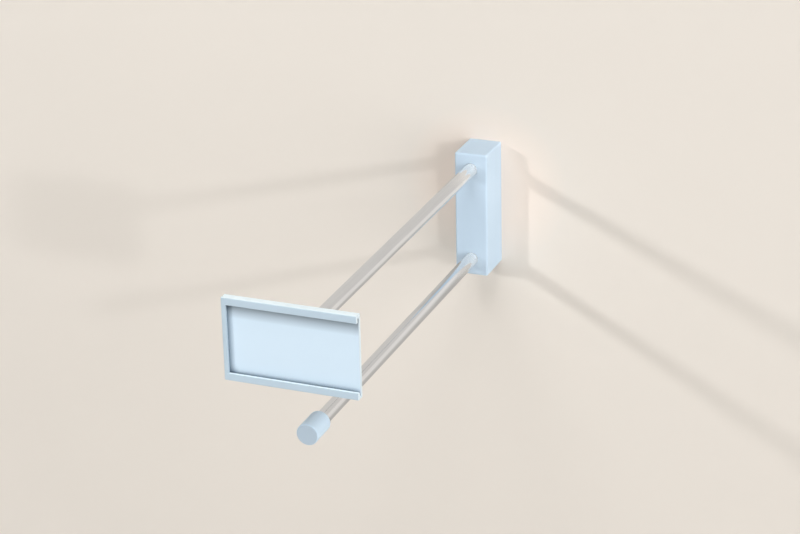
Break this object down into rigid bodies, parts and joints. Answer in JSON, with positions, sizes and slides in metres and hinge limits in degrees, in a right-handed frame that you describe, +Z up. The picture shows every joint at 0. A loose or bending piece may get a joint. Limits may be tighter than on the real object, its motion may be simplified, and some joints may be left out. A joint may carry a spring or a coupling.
{
  "type": "pegboard hook",
  "caption": "Display hook for a perforated board: straight steel rods in a moulded block, a label holder on the upper rod and a cap on the end of the lower one.",
  "frame": {"origin": "on the block's back face, which rests on the board, midway between the two pegs", "axes": "+Z up, +Y into the board, +X to the right seen from the front; the rods run out along -Y"},
  "size_m": [0.0438, 0.1819, 0.053],
  "materials": {
    "block_plastic": "satin moulded",
    "holder_plastic": "satin moulded",
    "cap_plastic": "satin moulded",
    "rod_steel": "polished",
    "peg_steel": "satin zinc plated"
  },
  "bodies": {
    "root": {"mounting_block": "block_plastic", "upper_rod": "rod_steel", "lower_rod": "rod_steel", "upper_peg": "peg_steel", "label_holder": "holder_plastic", "end_cap": "cap_plastic"}
  },
  "joints": []
}
